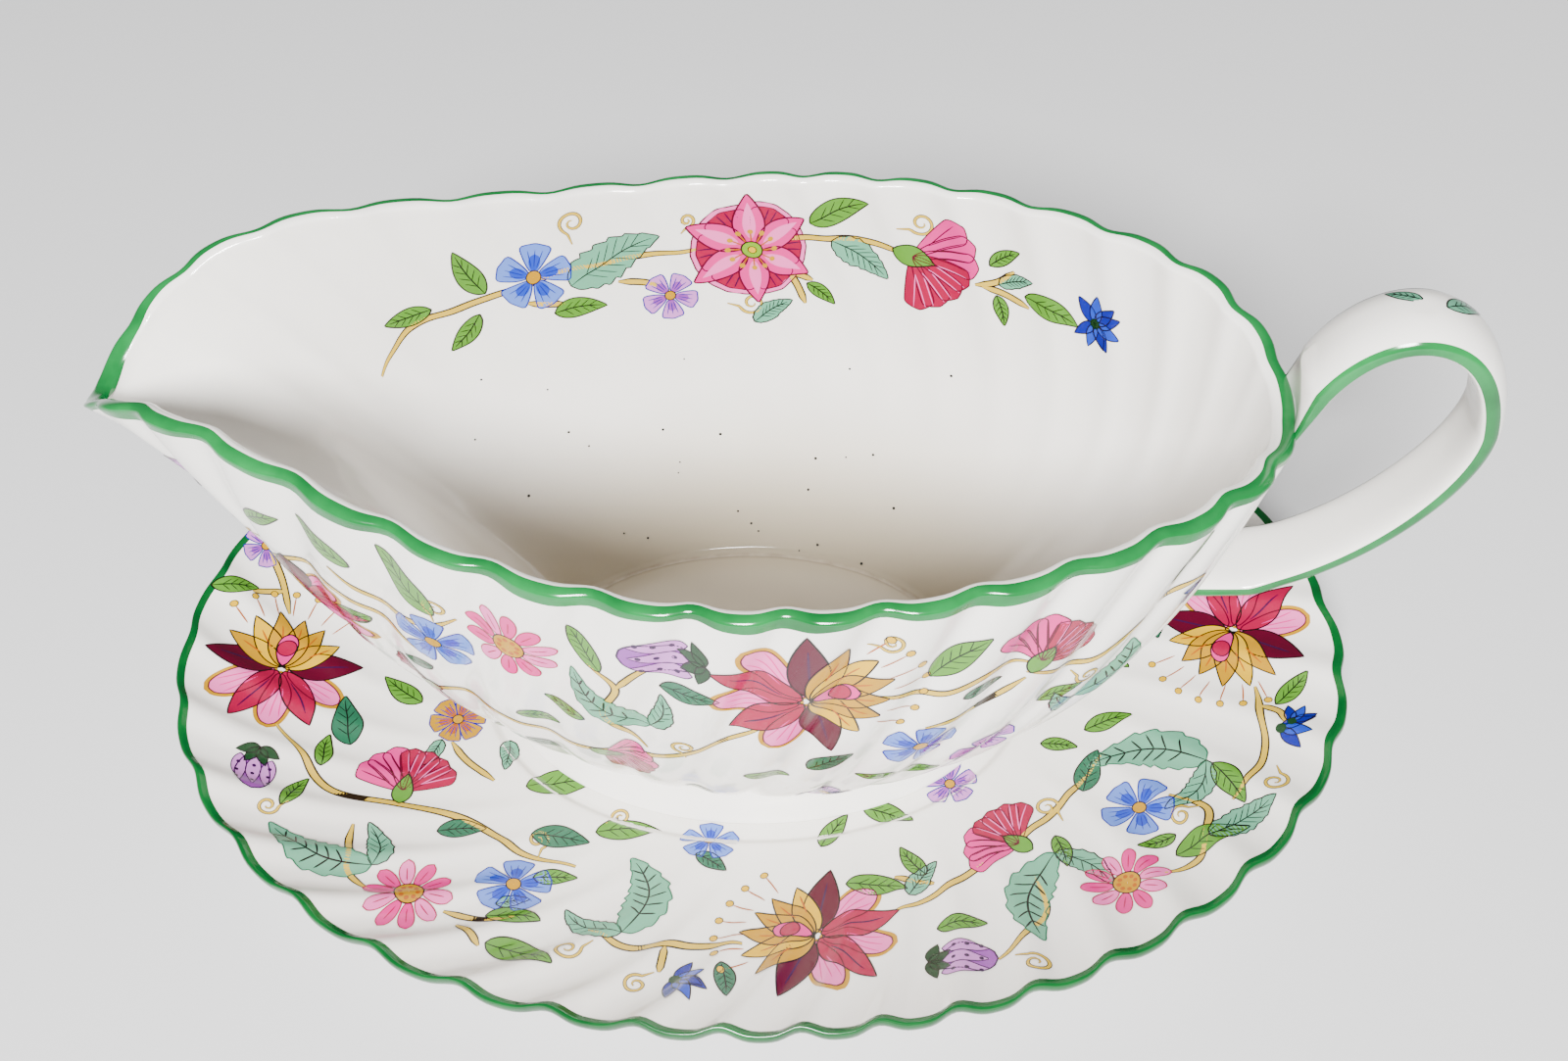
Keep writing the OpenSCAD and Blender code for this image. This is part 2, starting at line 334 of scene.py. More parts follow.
def crest(p, k):
    """Round the bowl's rim: k from 0 outside to 1 inside."""
    k = np.broadcast_to(k, p.shape)[..., None]
    over = mix(bowl_outer(p, 1.0), bowl_inner(p, 1.0), (1 - cos(180 * k)) / 2)
    return over + np.array([0, 0, rim_round]) * sin(180 * k)


def bowl_rings():
    p = np.linspace(0, 360, 14 * boat_flutes, endpoint=False)
    up = np.linspace(0, 1, 78) ** 1.25
    rings = [bowl_outer(p, h) for h in up]
    rings += [crest(p, k) for k in np.linspace(0, 1, 11)[1:-1]]
    rings += [bowl_inner(p, h) for h in up[::-1]]
    t = boat_angle(p, 0.0)
    for k, drop in ((0.5, 0.06), (1.0, 0.2), (1.5, 0.6), (2.0, 0.2), (2.6, 0.06), (6.0, 0.05)):
        rings.append(oval(floor_a - k, floor_b - k, floor_z - drop, t))
    return rings


def foot_rings():
    c = np.linspace(0, 360, 200, endpoint=False)
    rings = []
    for k in np.linspace(0, 1, 16):  # outer side, from the neck down, hollow like a trumpet
        r = foot_spread * (0.15 * k + 0.85 * k**2.1)
        rings.append(oval(neck_a + r, neck_b + r, mix(neck_z, well_floor_z + 0.5, k), c))
    for r, z in ((-0.1, 0.15), (-0.5, 0.0), (-foot_ring + 0.8, 0.0), (-foot_ring + 0.2, 0.3)):
        rings.append(oval(neck_a + foot_spread + r, neck_b + foot_spread + r, well_floor_z + z, c))
    for k in np.linspace(0, 1, 8)[1:]:
        r = mix(foot_spread, 0, k) - foot_ring
        rings.append(oval(neck_a + r, neck_b + r, mix(well_floor_z + 0.4, neck_z, k), c))
    return rings


# ---- handle ----
crown_z = rim_z + handle_crown
reach_x = handle_end_reach + handle_reach
top_join_z = rim_z - handle_dip - rim_round - 4.4
low_z = well_floor_z + handle_low


def curve3(a, b, c, d, k):
    return (1 - k) ** 3 * a + 3 * (1 - k) ** 2 * k * b + 3 * (1 - k) * k * k * c + k**3 * d


def strap_line(k):
    u = 2 * k if k < 0.5 else 2 * k - 1
    if k < 0.5:
        return np.array([
            curve3(handle_end_reach - 0.6, handle_end_reach + 2, reach_x - 2.5, reach_x, u),
            curve3(top_join_z, crown_z + 5, crown_z + 9, rim_z - 6, u)])
    return np.array([
        curve3(reach_x, reach_x + 0.3, mix(handle_end_reach, reach_x, 0.5), handle_end_reach - 4, u),
        curve3(rim_z - 6, rim_z - 17.5, low_z + 5.2, low_z, u)])


def strap_section(c):
    y = strap_width / 2 * np.sign(cos(c)) * np.abs(cos(c)) ** 0.55
    o = strap_edge / 2 * np.sign(sin(c)) * np.abs(sin(c)) ** 0.7
    return y, o + np.where(o > 0, strap_dome * (1 - (2 * y / strap_width) ** 2), 0)


def wall_at(y, z, into):
    """The wall's x at height z and sideways y on the handle end, less into."""
    p, h = np.zeros_like(y), np.full_like(y, 0.5)
    for _ in range(14):
        q = bowl_outer(p, h)
        p, h = p + 50 * (y - q[..., 1]) / half_width, h + (z - q[..., 2]) / (rim_z - neck_z)
    return bowl_outer(p, h)[..., 0] - into


def strap_ring(k, c, grow=1.0):
    y, o = strap_section(c)
    v = strap_line(min(k + 0.01, 1)) - strap_line(max(k - 0.01, 0))
    m = np.array([-v[1], v[0]]) / np.hypot(*v)
    q = strap_line(k)
    return np.stack([q[0] + m[0] * o * grow, y * grow, q[1] + m[1] * o * grow], -1)


def wall_ring(c, z0, lean, grow, into):
    y, o = strap_section(c)
    z = z0 + lean * o * grow
    return np.stack([wall_at(y * grow, z, into), y * grow, z], -1)


def between(a, b, c, d, k):
    """A smooth way from ring b to ring c, heading as a and d do."""
    return 0.5 * (2 * b + (c - a) * k + (2 * a - 5 * b + 4 * c - d) * k * k + (3 * b - a - 3 * c + d) * k**3)


def strap_rings(c):
    start = [wall_ring(c, top_join_z, 1.25, 1.14, 1.0), wall_ring(c, top_join_z, 1.25, 1.1, -0.1)]
    end = [wall_ring(c, low_z, -1.1, 1.12, -0.1), wall_ring(c, low_z, -1.1, 1.2, 1.0)]
    ks = np.linspace(0.09, 0.985, 150)
    middle = [strap_ring(k, c, 1 + 0.08 * math.exp(-((k - 0.985) / 0.03) ** 2)) for k in ks]
    head = [between(start[0], start[1], middle[0], middle[4], k) for k in np.linspace(0, 1, 7)[:-1]]
    tail = [between(middle[-5], middle[-1], end[0], end[1], k) for k in np.linspace(0, 1, 7)[1:]]
    return [start[0]] + head + middle + tail + [end[1]]


# ---- materials ----
def linear(r, g, b, deep=1.0):
    """Screen colour to reflectance. Enamel is deeper than it looks under the strong studio light."""
    return tuple(min((((v / 255 + 0.055) / 1.055) ** 2.4) ** deep, 1.0) for v in (r, g, b)) + (1.0,)


def glazed(name, rgb, other=None, rough=(0.06, 0.14), wave_size=40.0, bump=0.02, deep=1.0):
    """A glazed surface. With a second colour it varies softly between the two."""
    m = bpy.data.materials.new(name)
    m.use_nodes = True
    nt = m.node_tree
    b = nt.nodes["Principled BSDF"]
    b.inputs["IOR"].default_value = 1.52
    b.inputs["Base Color"].default_value = linear(*rgb, deep)
    where = nt.nodes.new("ShaderNodeTexCoord")
    soft = nt.nodes.new("ShaderNodeTexNoise")
    soft.inputs["Scale"].default_value = wave_size
    soft.inputs["Detail"].default_value = 3.0
    nt.links.new(where.outputs["Object"], soft.inputs["Vector"])
    if other:
        ramp = nt.nodes.new("ShaderNodeValToRGB")
        for stop, at, colour in zip(ramp.color_ramp.elements, (0.3, 0.7), (rgb, other)):
            stop.position, stop.color = at, linear(*colour, deep)
        nt.links.new(soft.outputs["Fac"], ramp.inputs["Fac"])
        nt.links.new(ramp.outputs["Color"], b.inputs["Base Color"])
    gloss = nt.nodes.new("ShaderNodeMapRange")
    gloss.inputs["To Min"].default_value, gloss.inputs["To Max"].default_value = rough
    nt.links.new(soft.outputs["Fac"], gloss.inputs["Value"])
    nt.links.new(gloss.outputs["Result"], b.inputs["Roughness"])
    fine = nt.nodes.new("ShaderNodeTexNoise")
    fine.inputs["Scale"].default_value = 260.0
    nt.links.new(where.outputs["Object"], fine.inputs["Vector"])
    dent = nt.nodes.new("ShaderNodeBump")
    dent.inputs["Strength"].default_value = bump
    dent.inputs["Distance"].default_value = 0.0003
    nt.links.new(fine.outputs["Fac"], dent.inputs["Height"])
    nt.links.new(dent.outputs["Normal"], b.inputs["Normal"])
    return m


china = glazed("glazed bone china", (232, 228, 222), (238, 235, 229))
# A darker copy of the green enamel for the stand's rim line: painted shade, for the stand lying in more shade
green_painted_shade_copy = glazed("green enamel, darker as painted shade", (30, 126, 80), (44, 144, 94), rough=(0.08, 0.2), wave_size=120.0,
                    bump=0.06, deep=1.9)
# A greyish beige for the floor's groove: painted shade in the recess
groove_painted_shade = glazed("painted groove shade", (158, 146, 126), (182, 170, 150), rough=(0.1, 0.25), wave_size=300.0)
bare = glazed("unglazed foot ring", (214, 206, 192), (224, 218, 206), rough=(0.5, 0.65), bump=0.15)
green = glazed("green enamel", (42, 146, 98), (66, 170, 116), rough=(0.08, 0.2), wave_size=120.0, bump=0.06,
               deep=1.9)

# The inside of the bowl gets its own copy of the china, with painted shade toward the floor
china_inside_painted_shade = china.copy()
china_inside_painted_shade.name = "glazed bone china, painted shade and stain inside"


def shade_and_stain_toward_floor(m, low, high):
    """Darker and warmer toward the bowl's floor, between two heights in mm: painted shade where the near wall
    shades the lower inside, with some staining.
    """
    nt = m.node_tree
    b = nt.nodes["Principled BSDF"]
    plain_colour = b.inputs["Base Color"].links[0].from_socket
    where = nt.nodes.new("ShaderNodeTexCoord")
    split = nt.nodes.new("ShaderNodeSeparateXYZ")
    height = nt.nodes.new("ShaderNodeMapRange")
    height.interpolation_type = "SMOOTHSTEP"
    height.inputs["From Min"].default_value, height.inputs["From Max"].default_value = low / 1000, high / 1000
    join = nt.nodes.new("ShaderNodeMix")
    join.data_type = "RGBA"
    # The warm dark colour at the bottom: painted shade, partly staining
    join.inputs["A"].default_value = linear(170, 159, 138)
    nt.links.new(where.outputs["Object"], split.inputs["Vector"])
    nt.links.new(split.outputs["Z"], height.inputs["Value"])
    nt.links.new(height.outputs["Result"], join.inputs["Factor"])
    nt.links.new(plain_colour, join.inputs["B"])
    nt.links.new(join.outputs["Result"], b.inputs["Base Color"])


# Painted shade over the lower inside of the bowl, with some staining, from 16 mm up to 52 mm
shade_and_stain_toward_floor(china_inside_painted_shade, 16, 52)

COLOURS = {
    "line": (82, 66, 58), "stem": (224, 206, 128), "stem_shade": (104, 88, 60), "pink": (228, 112, 182),
    "pink_light": (238, 168, 208), "rose": (196, 34, 128), "crimson": (146, 22, 100),
    "yellow": (212, 184, 4), "yellow_light": (228, 204, 36), "gold": (204, 150, 30), "blue": (98, 132, 212),
    "blue_light": (158, 180, 226), "blue_deep": (66, 90, 186), "lilac": (190, 136, 200),
    "lilac_light": (218, 178, 220), "plum": (116, 66, 128), "leaf": (148, 186, 110),
    "leaf_dark": (80, 126, 92), "aqua": (160, 200, 182), "aqua_dark": (104, 160, 138), "vein": (78, 82, 76),
    "centre": (176, 200, 96),
}
NAMES = list(COLOURS)
enamels = [glazed("enamel " + n.replace("_", " "), COLOURS[n], rough=(0.1, 0.22), wave_size=90.0,
                  deep=2.2) for n in NAMES]


# ---- pieces ----
def build_pieces():
    rings = bowl_rings()
    v, f = skin(rings, [0, 0, neck_z], [0, 0, floor_z - 0.1])
    n = 14 * boat_flutes
    picks = [int(i // n >= 86) for i in range((len(rings) - 1) * n)] + [0] * n + [1] * n  # 86 rows outside
    build("boat_bowl_china", v, f, "boat", [china, china_inside_painted_shade], picks, inset=INSET)
    v, f = skin(dish_rings(), [0, 0, stand_foot_height], [0, 0, well_floor_z])
    build("stand_dish_china", v, f, "stand", [china], inset=INSET)
    rings = foot_rings()
    v = np.concatenate(rings)
    f = grid_faces(len(rings), len(rings[0]), True)[:, ::-1]
    picks = [1 if 16 <= i // 200 <= 17 else 0 for i in range(len(f))]
    build("boat_foot_china", v, f.tolist(), "boat", [china, bare], picks)
    c = (np.arange(64) + 0.5) * 360 / 64
    rings = strap_rings(c)
    v, f = skin(rings, rings[0].mean(0), rings[-1].mean(0))
    build("boat_handle_china", v, f, "boat", [china])
    c = np.linspace(0, 360, 200, endpoint=False)
    wall, high = stand_foot_wall, stand_foot_height
    outline = [(0, high), (0, 0.6), (-0.18, 0.18), (-0.6, 0)]
    outline += [(-wall - r, z) for r, z in outline[::-1]]
    rings = [oval(foot_out_a + r, foot_out_b + r, z, c) for r, z in outline]
    v, f = np.concatenate(rings), grid_faces(len(rings), 200, True)[:, ::-1]
    picks = [1 if 2 <= i // 200 <= 4 else 0 for i in range(len(f))]
    build("stand_foot_china", v, f.tolist(), "stand", [china, bare], picks)


build_pieces()
for visual, node in (("boat_bowl_china", "boat_bowl"), ("boat_foot_china", "boat_foot"),
                     ("boat_handle_china", "boat_handle"), ("stand_dish_china", "stand_dish"),
                     ("stand_foot_china", "stand_foot")):
    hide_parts(node)


# ---- green lines ----
def band(name, net, body, closed, material=green):
    """A thin enamel strip over a net of points, its faces on the side of the net's normals."""
    rows, cols = net.shape[:2]
    faces = grid_faces(rows, cols, closed)
    build(name, net.reshape(-1, 3), faces.tolist(), body, [material])


def green_lines():
    p = np.linspace(0, 360, 14 * boat_flutes, endpoint=False)
    fade = 1 - 0.024 * (0.35 + 0.65 * sin(2 * 3.7 * p) ** 2)  # the lower edge waves a little
    outer = [bowl_outer(p, mix(fade, 1.0, k)) for k in np.linspace(0, 1, 5)]
    share = 0.55 + 0.4 * hump(fold(boat_angle(p, 1.0)), 180, 16)  # of the crest, all of it at the spout's tip
    net = np.stack(outer + [crest(p, k * share) for k in np.linspace(0, 1, 9)[1:]])
    band("boat_rim_line", lifted(net, 0.07), "boat", True)
    p = np.linspace(0, 360, 14 * stand_flutes, endpoint=False)
    edge = [dish_edge(p, k) for k in np.linspace(0.8, 0, 9)]
    net = np.stack(edge + [dish_point(p, s, 0.0) for s in (0.977, 0.97)])
    # The stand's green line uses the darker copy of the green: painted shade
    band("stand_rim_line", lifted(net, 0.05), "stand", True, green_painted_shade_copy)
    for edge, name in ((0, "far"), (180, "near")):
        c = edge + np.linspace(-16, 34, 9) * (1 if edge == 0 else -1)
        rings = np.stack(strap_rings(c)[1:-1])
        if edge:
            rings = rings[:, ::-1]
        band("handle_line_" + name, lifted(rings, 0.06, False), "boat", False)
    # A darker ring painted in the groove round the bowl's floor: painted shade in the recess
    t = boat_angle(np.linspace(0, 360, 14 * boat_flutes, endpoint=False), 0.0)
    groove = ((1.0, 0.2), (1.5, 0.56), (2.0, 0.2))
    net = np.stack([oval(floor_a - k, floor_b - k, floor_z - drop, t) for k, drop in groove])
    band("boat_floor_ring", lifted(net, 0.03), "boat", True, groove_painted_shade)


green_lines()


# ---- enamel painting ----
class Painter:
    """Flat strokes and petals laid on a surface: q = (angle or x, height or y) goes to a point in mm."""

    def __init__(self, surface, axes, sign, steps):
        self.surface, self.axes, self.sign, self.steps = surface, axes, sign, steps
        self.places, self.lifts, self.faces, self.picks, self.count = [], [], [], [], 0

    def frame(self, q):
        """Millimetres along the surface at q, as steps of q."""
        q = np.array(q, float)
        d = self.steps
        a = (self.surface(q + [d[0], 0]) - self.surface(q - [d[0], 0])) / (2 * d[0])
        b = (self.surface(q + [0, d[1]]) - self.surface(q - [0, d[1]])) / (2 * d[1])
        e1 = a * self.axes[0] / np.linalg.norm(a)
        e2 = b - e1 * np.dot(b, e1)
        e2 = e2 * self.axes[1] / np.linalg.norm(e2)
        m = np.stack([a, b], -1)  # 3 x 2
        return q, np.linalg.pinv(m) @ np.stack([e1, e2], -1)

    def put(self, at, xy, colour, lift):
        """Net xy (rows, cols, 2) in mm about the place at, as one patch of enamel."""
        q0, m = at
        rows, cols = xy.shape[:2]
        f = grid_faces(rows, cols, False)
        self.places.append((q0 + xy @ m.T).reshape(-1, 2))
        self.lifts.append(np.full(rows * cols, lift))
        self.faces.append(f + self.count)
        self.picks += [NAMES.index(colour)] * len(f)
        self.count += rows * cols

    def finish(self, name, body):
        q, d = np.concatenate(self.places), self.steps
        f = np.concatenate(self.faces)
        p = self.surface(q)
        n = np.cross(self.surface(q + [d[0], 0]) - p, self.surface(q + [0, d[1]]) - p) * self.sign
        n /= np.maximum(np.linalg.norm(n, axis=-1, keepdims=True), 1e-9)
        p = p + n * np.concatenate(self.lifts)[:, None]
        facing = np.cross(p[f[:, 2]] - p[f[:, 0]], p[f[:, 3]] - p[f[:, 1]])
        away = np.einsum("ij,ij->i", facing, n[f[:, 0]]) < 0
        f[away] = f[away][:, ::-1]
        build(name, p, f.tolist(), body, enamels, self.picks, n, inset=0.01)


STEP = 0.55  # longest side of an enamel facet, mm
UNDER, FILL, MARK, TOP, INK = 0.09, 0.11, 0.125, 0.14, 0.155  # heights of the enamel's layers, mm


def rot(a):
    return np.array([[float(cos(a)), -float(sin(a))], [float(sin(a)), float(cos(a))]])


def ribbon(pt, at, line, width, colour, lift=INK, taper=True):
    """A stroke along line (n, 2): resampled, and thinner to both ends when tapered."""
    line = np.asarray(line, float)
    seg = np.r_[0, np.cumsum(np.linalg.norm(np.diff(line, axis=0), axis=1))]
    n = max(int(seg[-1] / STEP) + 1, 4)
    k = np.linspace(0, seg[-1], n)
    line = np.stack([np.interp(k, seg, line[:, i]) for i in (0, 1)], -1)
    t = np.gradient(line, axis=0)
    t /= np.maximum(np.linalg.norm(t, axis=1, keepdims=True), 1e-9)
    side = np.stack([-t[:, 1], t[:, 0]], -1)
    u = np.linspace(0, 1, n)
    w = width / 2 * (np.minimum(1, 0.35 + 3.2 * np.minimum(u, 1 - u)) if taper else np.ones(n))
    pt.put(at, np.stack([line + side * w[:, None], line - side * w[:, None]], 1), colour, lift)


def blade(pt, at, size, angle, colour, shape, lift=FILL, offset=(0, 0), line=0.24, bend=0.0, ink="line"):
    """A filled shape from its base at offset out along angle: shape(u) gives the half width over length 1."""
    length, wide = size
    n = max(int(length / STEP), 8)
    u = np.linspace(0, 1, n + 1)
    half = np.maximum(shape(u), 0.0) * wide / 2
    mid = np.stack([u * length, bend * length * sin(180 * u) * 0.35], -1)
    t = np.gradient(mid, axis=0)
    t /= np.linalg.norm(t, axis=1, keepdims=True)
    side = np.stack([-t[:, 1], t[:, 0]], -1)
    cols = max(int(wide / STEP), 3)
    k = np.linspace(1, -1, cols + 1)
    xy = mid[:, None] + side[:, None] * (half[:, None] * k)[..., None]
    turn = rot(angle).T
    pt.put(at, xy @ turn + offset, colour, lift)
    if line:
        edge = np.concatenate([xy[:, 0], xy[::-1, -1]]) @ turn + offset
        ribbon(pt, at, edge, line, ink, lift + 0.02, taper=False)
    return (mid @ turn + offset)


def petal(u):
    return np.sqrt(np.maximum(np.sin(np.pi * u**0.8), 0)) * (0.4 + 0.6 * u)


def oval_leaf(u):
    return np.sin(np.pi * u**0.75) ** 0.9


def notched(u):
    """A petal with a wide, lightly notched end."""
    return np.minimum(1.1 * u**0.6, 1) * (1 - np.maximum((u - 0.78) / 0.22, 0) ** 3 * 0.95)


def toothed(u):
    return np.sin(np.pi * u**0.7) ** 0.8 * (1 - 0.22 * (u * 7 % 1.0) * (u < 0.95))


def disc(pt, at, r, colour, lift=TOP, offset=(0, 0), line=0.2, flat=1.0):
    c = np.linspace(0, 360, 25)
    k = np.linspace(0.02, 1, max(int(r / STEP), 2) + 1)
    ring = np.stack([cos(c), flat * sin(c)], -1)
    pt.put(at, ring[None] * (r * k)[:, None, None] + offset, colour, lift)
    if line:
        ribbon(pt, at, ring * r + offset, line, "line", lift + 0.012, taper=False)


def leaf(pt, at, length, angle, colour="leaf", wide=0.42, shape=oval_leaf, veins=4, offset=(0, 0),
         bend=0.12):
    mid = blade(pt, at, (length, length * wide), angle, colour, shape, FILL, offset, 0.24, bend)
    ribbon(pt, at, mid[: int(len(mid) * 0.92)], 0.26, "vein", MARK)
    turn = rot(angle).T
    for i in range(veins):
        u = 0.2 + 0.6 * i / veins
        base = np.array([u * length, bend * length * float(sin(180 * u)) * 0.35])
        w = float(shape(np.array([u + 0.08]))[0]) * length * wide / 2
        for s in (1, -1):
            tip = base + [0.16 * length, s * w * 0.72]
            ribbon(pt, at, np.stack([base, tip]) @ turn + offset, 0.17, "vein", MARK)


def daisy(pt, at, r, petals=10, colour="pink", inner="pink_light", turn=0.0):
    for i in range(petals):
        a = turn + 360 * i / petals
        off = r * 0.28 * np.array([float(cos(a)), float(sin(a))])
        shade = colour if i % 3 else inner
        blade(pt, at, (r * 0.74, r * 0.5), a, shade, petal, FILL + 0.004 * (i % 2), off, 0.2, ink="rose")
        ribbon(pt, at, np.stack([off * 1.6, off * 2.9]), 0.2, "rose", TOP)
    disc(pt, at, r * 0.33, "yellow", TOP, line=0.22)
    for i in range(8):
        a = 45 * i + turn
        disc(pt, at, r * 0.055, "gold", INK, r * 0.2 * np.array([float(cos(a)), float(sin(a))]), 0)


def blue_flower(pt, at, r, petals=5, turn=18.0, colour="blue", inner="blue_light"):
    for i in range(petals):
        a = turn + 360 * i / petals
        off = r * 0.12 * np.array([float(cos(a)), float(sin(a))])
        lift = FILL + 0.004 * (i % 2)
        blade(pt, at, (r * 0.9, r * 0.86), a, inner, notched, lift, off, 0.24, ink="blue_deep")
        blade(pt, at, (r * 0.55, r * 0.44), a, colour, petal, MARK, off * 1.2, 0)
        for s in (-14, 0, 14):
            v = np.array([float(cos(a + s)), float(sin(a + s))])
            ribbon(pt, at, np.stack([v * r * 0.3, v * r * 0.82]), 0.18, "blue_deep", TOP)
    disc(pt, at, r * 0.2, "yellow", TOP, line=0.2)


def star_flower(pt, at, r, turn=12.0):
    """Six pointed pink petals over a frilled rose ring, with a green and yellow middle."""
    for i in range(6):
        a = turn + 30 + 60 * i
        off = r * 0.1 * rot(a)[:, 0]
        up = 0.003 * (i % 2)
        blade(pt, at, (r * 0.82, r * 0.86), a, "pink_light", notched, UNDER + up, off, 0.26, ink="crimson")
        blade(pt, at, (r * 0.74, r * 0.72), a, "rose", notched, FILL + up, off, 0.2, ink="crimson")
        for s in (-16, -5, 5, 16):
            v = rot(a + s)[:, 0]
            ribbon(pt, at, np.stack([v * r * 0.5, v * r * 0.82]), 0.24, "plum", FILL + 0.01)
    for i in range(6):
        a = turn + 60 * i
        off = r * 0.1 * rot(a)[:, 0]
        up = 0.003 * (i % 2)
        blade(pt, at, (r * 0.98, r * 0.5), a, "pink", oval_leaf, MARK + up, off, 0.3, ink="crimson")
        blade(pt, at, (r * 0.7, r * 0.2), a, "pink_light", oval_leaf, TOP, off * 2.2, 0)
    for i in range(12):
        v = rot(turn + 30 * i)[:, 0]
        ribbon(pt, at, np.stack([v * r * 0.16, v * r * 0.36]), 0.3, "gold", TOP + 0.02)
        disc(pt, at, r * 0.045, "yellow", TOP + 0.03, v * r * 0.37, 0)
    disc(pt, at, r * 0.17, "centre", TOP + 0.03, line=0.26)
    disc(pt, at, r * 0.07, "yellow_light", TOP + 0.05, line=0.16)


def carnation(pt, at, r, angle, colour="rose", light="pink"):
    """A side-on fan of toothed petals above a green cup."""
    up = np.array([float(cos(angle)), float(sin(angle))])
    base = -up * r * 0.55
    for i, a in enumerate((-62, 62, -42, 42, -21, 21, 0)):
        blade(pt, at, (r * (1.22 + 0.1 * (i % 2)), r * 0.62), angle + a, light if i % 2 else colour, notched,
              FILL + 0.004 * i, base, 0.22, ink="crimson")
        v = rot(angle + a)[:, 0]
        for s in (-6, 6):
            w = rot(angle + a + s)[:, 0]
            mark = "crimson" if i % 2 else "pink_light"
            ribbon(pt, at, np.stack([base + v * r * 0.4, base + w * r * 1.16]), 0.2, mark, TOP)
    blade(pt, at, (r * 0.85, r * 0.46), angle, "leaf", oval_leaf, TOP + 0.005, base - up * r * 0.4, 0.26)


def bud(pt, at, length, angle, colour="lilac", light="lilac_light", ink="plum"):
    """A plump closed flower, its leafy cup at the base."""
    up = rot(angle)[:, 0]
    side = np.array([-up[1], up[0]])
    blade(pt, at, (length, length * 0.86), angle, colour, petal, FILL, (0, 0), 0.28, ink=ink)
    for s in (-0.34, 0.0, 0.34):
        w = side * s * length * 0.8
        at_base = up * length * 0.16 + w
        size = (length * 0.72, length * 0.26)
        blade(pt, at, size, angle - 12 * s, light, oval_leaf, MARK, at_base, 0.2, ink=ink)
        for k in (0.36, 0.56, 0.76):
            disc(pt, at, length * 0.035, ink, TOP, up * length * k + w, 0)
    for a in (-70, -28, 28, 70):
        size = (length * 0.4, length * 0.2)
        blade(pt, at, size, angle + a, "leaf_dark", oval_leaf, TOP, -up * length * 0.04, 0.2)


def stem(pt, points, width=0.9, colour="stem", shade="stem_shade"):
    """A stroke through places on the surface itself, with a darker edge."""
    pts = np.array(points, float)
    n = len(pts)
    u = np.linspace(0, n - 1, 12 * (n - 1) + 1)
    out = np.zeros((len(u), 2))
    for k, x in enumerate(u):
        i = min(int(x), n - 2)
        f = x - i
        a, b, c, d = pts[max(i - 1, 0)], pts[i], pts[i + 1], pts[min(i + 2, n - 1)]
        out[k] = between(a, b, c, d, f)
    q0, m = pt.frame(out[len(out) // 2])
    line = (out - q0) @ np.linalg.inv(m).T
    ribbon(pt, (q0, m), line, width + 0.55, shade, UNDER)
    ribbon(pt, (q0, m), line, width, colour, FILL)


def tendril(pt, at, size, angle, hand=1, width=0.42):
    a = np.linspace(0, 520, 60)
    r = size * (0.5 - 0.4 * a / 520)
    spiral = np.stack([size * 0.9 + r * cos(180 - a), hand * r * sin(180 - a)], -1)
    line = np.concatenate([[[0, -hand * size * 0.3]], spiral]) @ rot(angle).T
    ribbon(pt, at, line, width + 0.26, "stem_shade", UNDER)
    ribbon(pt, at, line, width, "stem", FILL)


def bloom(pt, at, r, angle):
    """A large side-on flower: crimson and pink petals behind, yellow ones and stamens toward the tip."""
    for a in (180, 122, -122):  # pink petals on a yellow edge
        off = 0.1 * r * rot(angle + a)[:, 0]
        halo = off - 0.04 * r * rot(angle + a)[:, 0]
        blade(pt, at, (r * 0.98, r * 0.66), angle + a, "yellow", petal, UNDER, halo, 0)
        blade(pt, at, (r * 0.88, r * 0.52), angle + a, "pink_light", petal, FILL, off, 0.24, ink="crimson")
        for s in (-9, 0, 9):
            v = rot(angle + a + s)[:, 0]
            ribbon(pt, at, np.stack([off + v * r * 0.3, off + v * r * 0.74]), 0.24, "pink", MARK)
    for a in (150, -150, 84, -84):
        off = 0.08 * r * rot(angle + a)[:, 0]
        shade = "rose" if abs(a) > 90 else "crimson"
        blade(pt, at, (r * 0.98, r * 0.42), angle + a, shade, oval_leaf, FILL + 0.012, off, 0.26)
        v = rot(angle + a)[:, 0]
        ribbon(pt, at, np.stack([v * r * 0.3, v * r * 0.85]), 0.3, "plum", MARK + 0.012)
    for i, a in enumerate((-58, 58, -34, 34, -12, 12)):
        size, shade = (r * (0.82 + 0.08 * (i % 2)), r * 0.34), "yellow" if i % 3 else "yellow_light"
        blade(pt, at, size, angle + a, shade, oval_leaf, TOP + 0.004 * i, (0, 0), 0.26)
        v = rot(angle + a)[:, 0]
        ribbon(pt, at, np.stack([v * r * 0.35, v * r * 0.66]), 0.3, "gold", INK + 0.02)
    for i in range(7):
        v = rot(angle - 42 + 14 * i)[:, 0]
        ribbon(pt, at, np.stack([v * r * 0.85, v * r * 1.16]), 0.26, "gold", FILL)
        disc(pt, at, r * 0.05, "yellow_light", MARK, v * r * 1.2, 0.16)
    v = rot(angle)[:, 0]
    blade(pt, at, (r * 0.5, r * 0.36), angle, "pink", petal, INK + 0.03, v * r * 0.02, 0.26)
    disc(pt, at, r * 0.12, "rose", INK + 0.05, v * r * 0.3, 0.2)


def bell(pt, at, r, angle):
    for a in (-40, 40, 0):
        shade, lift = ("blue_deep", FILL) if a else ("blue", FILL + 0.006)
        blade(pt, at, (r * 1.1, r * 0.5), angle + a, shade, oval_leaf, lift, (0, 0), 0.22)
    disc(pt, at, r * 0.2, "leaf_dark", TOP, line=0)


